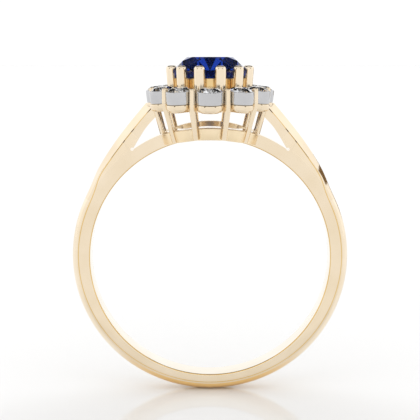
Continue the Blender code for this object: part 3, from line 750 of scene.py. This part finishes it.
def brilliant_planes(crown, pavilion, table_share):
    """Facet planes of a unit-radius brilliant with its girdle at z = 0."""
    planes = [(Vector((0, 0, crown)), Vector((0, 0, 1)))]
    slope = math.degrees(math.atan2(crown, 1.0 - table_share))
    for k in range(MAINS * 4):
        planes.append(facet(math.tau * (k + 0.5) / (MAINS * 4), 90.0, 1.0, 0.0))
    for k in range(MAINS):
        angle = math.tau * k / MAINS
        half = angle + math.tau / (2 * MAINS)
        planes.append(facet(angle, slope, 1.0, GIRDLE_TOP))
        planes.append(facet(half, slope * STAR_SLOPE, table_share * STAR_REACH, crown))
    for k in range(MAINS * 2):
        angle = math.tau * (k + 0.5) / (MAINS * 2)
        planes.append(facet(angle, slope + UPPER_HALF_STEEPER, 1.0, GIRDLE_TOP))
    under = 180.0 - math.degrees(math.atan2(pavilion, 1.0))
    for k in range(MAINS):
        planes.append(facet(math.tau * k / MAINS, under, 1.0, GIRDLE_BOTTOM))
    for k in range(MAINS * 2):
        angle = math.tau * (k + 0.5) / (MAINS * 2)
        planes.append(facet(angle, under - LOWER_HALF_STEEPER, 1.0, GIRDLE_BOTTOM))
    return planes


DIAMOND_CUT = (0.34, 0.80, 0.56)  # crown height, pavilion depth and table, in radii
DIAMOND_TURN = 0.61      # radians from one stone to the next, so that no two sparkle alike


def make_diamond(number):
    """Round brilliant, set in its cup and turned a little from its neighbour."""
    node = "halo_diamond_%02d" % number
    bm = cut_stone(brilliant_planes(*DIAMOND_CUT), 1.3)
    grow = Matrix.Diagonal((STONE_R * MM, STONE_R * MM, STONE_R * MM, 1.0))
    up = Matrix.Translation(Vector((0, 0, GIRDLE_ABOVE_CUP_MIDDLE)) * MM)
    turn = Matrix.Rotation(DIAMOND_TURN * number, 4, "Z")
    bmesh.ops.transform(bm, matrix=tilt_matrix(number) @ up @ grow @ turn, verts=bm.verts)
    put(finish_mesh(node + "_cut", bm, DIAMOND, 0.0), node)


def make_sapphire():
    """Oval stone: a round cut stretched to the CAD stone's box."""
    low = node_low("sapphire")
    high = node_high("sapphire")
    half_x = (high.x - low.x) / 2
    half_y = (high.y - low.y) / 2
    crown = (high.z - GEM_GIRDLE_Z) / half_x
    pavilion = (GEM_GIRDLE_Z - low.z) / half_x
    bm = cut_stone(brilliant_planes(crown, pavilion * 0.97, GEM_TABLE_SHARE), 1.4)
    grow = Matrix.Diagonal((half_x * MM, half_y * MM, half_x * MM, 1.0))
    bmesh.ops.transform(bm, matrix=Matrix.Translation(Vector((0, 0, GEM_GIRDLE_Z)) * MM) @ grow,
                        verts=bm.verts)
    put(finish_mesh("sapphire_cut", bm, SAPPHIRE, 0.0), "sapphire")


# ---------------------------------------------------------------- cups, posts and prongs
def make_cup(number):
    """Turned cup with eased corners and a tapered seat for a round stone."""
    node = "halo_cup_%02d" % number
    low = -CUP_HALF_HEIGHT
    high = CUP_HALF_HEIGHT
    wall = CUP_R - CUP_WALL
    profile = rounded([(CUP_R - 0.03, low), (CUP_R, low + 0.10), (CUP_R, high - 0.03),
                       (CUP_R - 0.02, high), (wall + 0.01, high),
                       (wall, GIRDLE_ABOVE_CUP_MIDDLE - 0.09), (COLLET_HOLE_R, low + 0.16),
                       (COLLET_HOLE_R, low)], CUP_EASE)
    bm = bmesh.new()
    revolve(bm, profile, 72)
    bmesh.ops.transform(bm, matrix=tilt_matrix(number), verts=bm.verts)
    put(finish_mesh(node + "_turned", bm, WHITE_GOLD_PAINTED_REFLECTION, 30.0), node)


def post_centre(number, z):
    """Middle of a post at height z."""
    x, y = post_place(number)
    sx, sy = lean_scale(math.atan2(y, x), z)
    return (x * sx, y * sy)


def stands_on_bridge(number):
    """True for the four posts at the sides, which end on the bridge and the rail's ends."""
    x, y = post_centre(number, BASE_UNDER_R)
    return abs(y) < BAND_HALF + POST_R + 0.1


def make_post(number):
    """Round post: upright beside the cup, leaning in below, with a rounded top."""
    node = "halo_post_%02d" % number
    foot_r = BASE_OVER_R + CLEAR if stands_on_bridge(number) else BASE_UNDER_R + 0.06
    x_foot, y_foot = post_centre(number, foot_r)
    low = math.sqrt(foot_r ** 2 - x_foot * x_foot)
    high = node_high(node).z
    x, y = post_place(number)
    turn = math.atan2(y, x)
    bend = bend_height(turn)
    levels = []
    for k in range(2, 20):
        z = blend(low, high - POST_TIP, k / 19)
        levels.append((z, blend(POST_FOOT, 1.0, smoothstep(z, bend - 1.2, bend + 0.1))))
    for k in range(1, 9):
        a = math.radians(90.0 * k / 9)
        levels.append((high - POST_TIP + POST_TIP * math.sin(a), math.cos(a) ** 0.75))
    levels.append((high, 0.06))
    bm = bmesh.new()
    foot = circle(post_centre(number, low), POST_R * POST_FOOT, low, 32)
    rings = [[(px, py, math.sqrt(foot_r ** 2 - px * px)) for px, py, pz in foot]]
    for z, size in levels:
        sx, sy = lean_scale(turn, z)
        rings.append(circle((x * sx, y * sy), POST_R * size, z, 32))
    stack(bm, rings)
    put(finish_mesh(node + "_drawn", bm, GOLD, 60.0), node)


def make_prong(number):
    """Round-topped prong, cut to fit the centre stone's girdle."""
    node = "centre_prong_%02d" % number
    low = node_low(node).z
    high = node_high(node).z
    cup_top = CUP_MIDDLE + CUP_HALF_HEIGHT
    x, y = prong_place(number)
    far = math.hypot(x, y)
    levels = [(low, 0.94), (low + 0.05, 1.0)]
    for k in range(1, 9):
        levels.append((blend(low + 0.05, high - PRONG_TIP, k / 8), 1.0))
    for k in range(1, 13):
        a = math.radians(90.0 * k / 13)
        levels.append((high - PRONG_TIP + PRONG_TIP * math.sin(a), math.cos(a) ** 0.7))
    levels.append((high, 0.05))
    bm = bmesh.new()
    rings = []
    for z, size in levels:
        lean = 1.0 + PRONG_FLARE * max(0.0, z - cup_top) / (high - cup_top) / far
        rings.append(circle((x * lean, y * lean), PRONG_R * size, z, 40))
    stack(bm, rings)
    obj = finish_mesh(node + "_turned", bm, PALE_GOLD, 60.0)
    tool_bm = bmesh.new()
    gem_low = node_low("sapphire")
    gem_high = node_high("sapphire")
    half_x = (gem_high.x - gem_low.x) / 2 + CLEAR
    half_y = (gem_high.y - gem_low.y) / 2 + CLEAR
    stack(tool_bm, [oval(half_x * GEM_TABLE_SHARE, half_y * 0.73, gem_high.z + CLEAR, 96),
                    oval(half_x, half_y, GEM_GIRDLE_Z + BEARING_HALF, 96),
                    oval(half_x, half_y, GEM_GIRDLE_Z - BEARING_HALF, 96),
                    oval(half_x * 0.13, half_y * 0.13, gem_low.z + 0.2, 96)])
    cut_by(obj, tool_object(tool_bm))
    put(obj, node)


for place_number in range(1, STONES + 1):
    make_cup(place_number)
    make_diamond(place_number)
    make_post(place_number)
    make_prong(place_number)
make_sapphire()


# ---------------------------------------------------------------- base rails
def make_rail(node, facing):
    """Half of the scalloped rail, its top and underside following the finger circle."""
    feet = [post_place(k) for k in range(1, STONES + 1)]
    post_a = max(abs(x) for x, y in feet) * RAIL_GROW_X
    post_b = max(abs(y) for x, y in feet) * RAIL_GROW_Y
    turns = sorted(math.atan2(y / post_b, x / post_a) % math.tau for x, y in feet)

    def lobe(t):
        """0 at a post, 1 half-way between two posts, round between."""
        place = t % math.tau
        if place < turns[0]:
            place += math.tau
        for low, high in zip(turns, turns[1:] + [turns[0] + math.tau]):
            if low <= place <= high:
                return math.sqrt(max(0.0, 1.0 - (2.0 * (place - low) / (high - low) - 1.0) ** 2))
        return 0.0

    def clear_of_posts(t, inset, half_x, half_y, z):
        """The inset, made deep enough for the wall to pass behind the posts."""
        on_line = Vector(halo_point(t, 0.0, half_x, half_y))
        normal = Vector(halo_point(t, 1.0, half_x, half_y)) - on_line
        for number in range(1, STONES + 1):
            if stands_on_bridge(number):
                continue
            away = on_line - Vector(post_centre(number, z))
            along_normal = away.dot(normal)
            inside = along_normal ** 2 - away.length_squared + POST_GROOVE_R ** 2
            if inside > 0.0 and away.length < 1.0:
                inset = max(inset, along_normal + math.sqrt(inside))
        return inset

    def level_point(t, inset, radius):
        """Point of the rail's wall where it crosses a cylinder about the finger axis."""
        z = radius
        x = 0.0
        for _ in range(6):
            sx, sy = lean_scale(t, z)
            room = clear_of_posts(t, inset, post_a * sx, post_b * sy, z)
            x, y = halo_point(t, -room, post_a * sx, post_b * sy)
            z = math.sqrt(radius * radius - x * x)
        return (x, y, z)

    end = math.asin(RAIL_END_Y / (post_b * FOOT_SCALE_Y))
    start = math.pi + end if facing < 0 else end
    bm = bmesh.new()
    rings = []
    for i in range(RAIL_STEPS + 1):
        t = start + (math.pi - 2 * end) * i / RAIL_STEPS
        swell = RAIL_LOBE * lobe(t)
        outer = RAIL_HOLLOW - swell
        inner = RAIL_HOLLOW + RAIL_WALL - 0.4 * swell
        ring = [level_point(t, outer + 0.03, BASE_UNDER_R), level_point(t, outer, BASE_UNDER_R + 0.04)]
        for k in range(5):
            a = math.radians(90.0 * k / 4)
            ring.append(level_point(t, outer + RAIL_EASE * (1.0 - math.cos(a)),
                                    BASE_OVER_R - RAIL_EASE * (1.0 - math.sin(a))))
        ring += [level_point(t, inner - 0.03, BASE_OVER_R), level_point(t, inner, BASE_OVER_R - 0.03),
                 level_point(t, inner, BASE_UNDER_R)]
        rings.append(ring)
    stack(bm, rings)
    put(finish_mesh(node + "_cast", bm, SATIN_GOLD, 32.0), node)


make_rail("base_rail_front", -1)
make_rail("base_rail_back", 1)


# ---------------------------------------------------------------- gallery and basket
def make_gallery():
    """Twelve bowl-shaped collets in one plate, with the inner ring that carries the prongs."""
    slope = math.tan(math.radians(HALO_TILT))
    top = CUP_MIDDLE - CUP_HALF_HEIGHT - CLEAR

    def lobes(radius):
        """Outer edge of twelve overlapping discs of this radius set on the halo ellipse."""
        points = []
        for i in range(GALLERY_SEGMENTS):
            t = math.tau * i / GALLERY_SEGMENTS
            bx, by = halo_point(t)
            nx, ny = halo_point(t, 1.0)
            direction = Vector((nx - bx, ny - by))
            best = 0.0
            for place in CUP_PLACES.values():
                away = Vector((bx - place.x, by - place.y))
                along_it = away.dot(direction)
                inside = along_it ** 2 - away.length_squared + radius * radius
                if inside > 0.0:
                    best = max(best, math.sqrt(inside) - along_it)
            points.append((bx + direction.x * best, by + direction.y * best))
        return points

    def tilted(points, z):
        """The points on a plane that leans out with the nearest stone."""
        loop = []
        for x, y in points:
            number = min(CUP_PLACES, key=lambda n: (CUP_PLACES[n].x - x) ** 2
                         + (CUP_PLACES[n].y - y) ** 2)
            normal = outward(number)
            away = (x - CUP_PLACES[number].x) * normal.x + (y - CUP_PLACES[number].y) * normal.y
            loop.append((x, y, z - slope * away))
        return loop

    bm = bmesh.new()
    levels = [(top, 0.985), (top - 0.02, 1.0), (top - 0.12, 1.0), (top - 0.24, 0.975),
              (top - 0.34, 0.93), (top - 0.42, 0.87), (top - 0.49, 0.79), (GALLERY_BOTTOM, 0.70)]
    inner = [halo_point(math.tau * i / GALLERY_SEGMENTS, -INNER_RING_REACH)
             for i in range(GALLERY_SEGMENTS)]
    tube(bm, [tilted(lobes(COLLET_R * size), z) for z, size in levels]
         + [tilted(inner, GALLERY_BOTTOM), tilted(inner, top)])
    gallery = finish_mesh("halo_gallery_cast", bm, GOLD, 40.0)
    bm = bmesh.new()
    for number in CUP_PLACES:
        hole = bmesh.new()
        stack(hole, [circle((0, 0), COLLET_HOLE_R, -1.0, 48), circle((0, 0), COLLET_HOLE_R, -0.25, 48)])
        bmesh.ops.transform(hole, matrix=tilt_matrix(number), verts=hole.verts)
        mesh = bpy.data.meshes.new("hole")
        hole.to_mesh(mesh)
        hole.free()
        bm.from_mesh(mesh)
        bpy.data.meshes.remove(mesh)
    cut_by(gallery, tool_object(bm))
    put(gallery, "halo_gallery")


def make_basket():
    """Seat rail: a smooth oval band whose inside leans with the stone."""
    low = node_low("centre_basket")
    high = node_high("centre_basket")
    gem_low = node_low("sapphire")
    gem_high = node_high("sapphire")
    segments = 160
    half_x = high.x
    half_y = high.y

    def inner(z):
        """Half-widths of the seat at height z, just outside the stone."""
        share = (GEM_PAVILION_TOP - z) / (GEM_PAVILION_TOP - gem_low.z - GEM_POINT_RISE)
        return (blend(gem_high.x, GEM_POINT_HALF[0], share) + SEAT_GAP,
                blend(gem_high.y, GEM_POINT_HALF[1], share) + SEAT_GAP)

    top_inner = inner(high.z)
    low_inner = inner(high.z - SEAT_DEPTH)
    bm = bmesh.new()
    tube(bm, [oval(half_x - 0.04, half_y - 0.04, high.z, segments),
              oval(half_x - 0.01, half_y - 0.01, high.z - 0.015, segments),
              oval(half_x, half_y, high.z - 0.05, segments),
              oval(half_x - 0.05, half_y - 0.05, low.z, segments),
              oval(*low_inner, low.z, segments),
              oval(*low_inner, high.z - SEAT_DEPTH, segments),
              oval(*top_inner, high.z, segments)])
    put(finish_mesh("centre_basket_cast", bm, SEAT_GOLD_PAINTED_SHADE, 40.0), "centre_basket")


make_gallery()
make_basket()


# ---------------------------------------------------------------- floor and surround
PAPER = ((0.925, 0.924, 0.922), (0.94, 0.94, 0.938))
# The darker tone is a painted shadow: the ring's soft shadow laid into the floor's colour.
PAINTED_SHADOW_TONE = ((0.815, 0.810, 0.802), (0.83, 0.826, 0.818))
HAZE_SCALE = 30.0
PAINTED_SHADOW_PLACE = (0.0, -12.0, 0.0)  # the darker patch lies in front of the ring
PAINTED_SHADOW_HALF = (24.0, 14.0)
PAINTED_SHADOW_FADE = 0.55         # the patch is at full strength this far in from its edge
FLOOR_ROUGHNESS = 0.07
FLOOR_GAP = 0.01         # below the ring
FLOOR_HALF_M = 4.0
SURROUND_STRENGTH = 1.06


def rectangle(name, half_x, half_y, mat):
    """A flat rectangle facing up, given by its half-sizes in metres."""
    mesh = bpy.data.meshes.new(name)
    mesh.from_pydata([(-half_x, -half_y, 0), (half_x, -half_y, 0), (half_x, half_y, 0),
                      (-half_x, half_y, 0)], [], [(0, 1, 2, 3)])
    mesh.materials.append(mat)
    obj = bpy.data.objects.new(name, mesh)
    bpy.context.scene.collection.objects.link(obj)
    return obj


def floor_material():
    """Glossy white with a slow haze and a painted shadow: a soft, slightly darker patch in front of the
    ring.
    """
    mat, nodes, links, shader = new_material("pale_gloss_floor_painted_shadow")
    place = nodes.new("ShaderNodeTexCoord").outputs["Object"]
    haze = noise(nodes, links, place, HAZE_SCALE, 3.0)
    paper = ramp(nodes, [(0.3, PAPER[0]), (0.7, PAPER[1])])
    links.new(haze.outputs["Fac"], paper.inputs["Fac"])
    painted_shadow = ramp(nodes, [(0.3, PAINTED_SHADOW_TONE[0]), (0.7, PAINTED_SHADOW_TONE[1])])
    links.new(haze.outputs["Fac"], painted_shadow.inputs["Fac"])
    # Painted shadow: a soft patch in the floor's own coordinates, darker in front of the ring.
    patch = nodes.new("ShaderNodeMapping")
    patch.vector_type = "TEXTURE"
    patch.inputs["Location"].default_value = Vector(PAINTED_SHADOW_PLACE) * MM
    patch.inputs["Scale"].default_value = (PAINTED_SHADOW_HALF[0] * MM, PAINTED_SHADOW_HALF[1] * MM, 1.0)
    links.new(place, patch.inputs["Vector"])
    centre = nodes.new("ShaderNodeTexGradient")
    centre.gradient_type = "SPHERICAL"
    links.new(patch.outputs["Vector"], centre.inputs["Vector"])
    soft = nodes.new("ShaderNodeMapRange")
    soft.interpolation_type = "SMOOTHSTEP"
    soft.inputs["From Min"].default_value = 0.0
    soft.inputs["From Max"].default_value = PAINTED_SHADOW_FADE
    links.new(centre.outputs["Fac"], soft.inputs["Value"])
    both = nodes.new("ShaderNodeMix")
    both.data_type = "RGBA"
    links.new(soft.outputs["Result"], both.inputs["Factor"])
    links.new(paper.outputs["Color"], both.inputs["A"])
    links.new(painted_shadow.outputs["Color"], both.inputs["B"])
    links.new(both.outputs["Result"], shader.inputs["Base Color"])
    shader.inputs["Roughness"].default_value = FLOOR_ROUGHNESS
    shader.inputs["IOR"].default_value = 1.5
    return mat


floor = rectangle("floor", FLOOR_HALF_M, FLOOR_HALF_M, floor_material())
floor.location = (0, 0, (node_low("shank").z - FLOOR_GAP) * MM)

world = bpy.data.worlds.new("studio")
bpy.context.scene.world = world
world.use_nodes = True
world.node_tree.nodes["Background"].inputs["Color"].default_value = (1.0, 1.0, 1.0, 1.0)
world.node_tree.nodes["Background"].inputs["Strength"].default_value = SURROUND_STRENGTH

bpy.context.scene.view_settings.view_transform = "Standard"


# ---------------------------------------------------------------- lights and cards
RIM_POWER = 0.0012
SOFTBOX_POWER = 0.0034
LOW_AIM = (0, 0, 4)
HIGH_AIM = (0, 0, 10)
BROWN = (0.20, 0.11, 0.03)
DARK_BROWN = (0.10, 0.06, 0.02)
DARK_GREY = (0.10, 0.10, 0.11)
CARD_GRAIN = 60.0


def area_light(name, place, aim, size, power):
    """A rectangular softbox, hidden from the camera."""
    data = bpy.data.lights.new(name, "AREA")
    data.shape = "RECTANGLE"
    data.size = size[0] * MM
    data.size_y = size[1] * MM
    data.energy = power
    obj = bpy.data.objects.new(name, data)
    bpy.context.scene.collection.objects.link(obj)
    obj.location = Vector(place) * MM
    direction = Vector(aim) - Vector(place)
    obj.rotation_euler = direction.to_track_quat("-Z", "Y").to_euler()
    obj.visible_camera = False


def card(name, place, aim, size, colour):
    """A flat studio card for the metal and the stones, hidden from camera, diffuse light and shadow."""
    mat, nodes, links, shader = new_material(name + "_paper")
    grain = noise(nodes, links, nodes.new("ShaderNodeTexCoord").outputs["Object"], CARD_GRAIN, 3.0)
    tone = ramp(nodes, [(0.3, tuple(0.9 * c for c in colour)), (0.7, colour)])
    links.new(grain.outputs["Fac"], tone.inputs["Fac"])
    links.new(tone.outputs["Color"], shader.inputs["Base Color"])
    shader.inputs["Roughness"].default_value = 0.9
    shader.inputs["Specular IOR Level"].default_value = 0.1
    obj = rectangle(name, size[0] / 2 * MM, size[1] / 2 * MM, mat)
    obj.location = Vector(place) * MM
    direction = Vector(aim) - Vector(place)
    obj.rotation_euler = direction.to_track_quat("Z", "Y").to_euler()
    obj.visible_camera = False
    obj.visible_diffuse = False
    obj.visible_shadow = False


for side_name, side in (("left", -1), ("right", 1)):
    area_light(side_name + "_rim_softbox", (98 * side, 98, 44), LOW_AIM, (60, 84), RIM_POWER)
card("brown_card", (74, 88, 19), LOW_AIM, (30, 34), BROWN)
for side_name, side in (("left", -1), ("right", 1)):
    area_light(side_name + "_softbox", (118 * side, 36, 56), (0, 0, 8), (86, 128), SOFTBOX_POWER)
for side_name, side in (("left", -1), ("right", 1)):
    card(side_name + "_flag", (88 * side, -88, 74), HIGH_AIM, (28, 84), DARK_BROWN)
card("front_flag", (0, -92, 132), HIGH_AIM, (130, 22), DARK_BROWN)
card("ceiling_card", (0, 76, 98), (0, 76, 0), (160, 144), DARK_GREY)
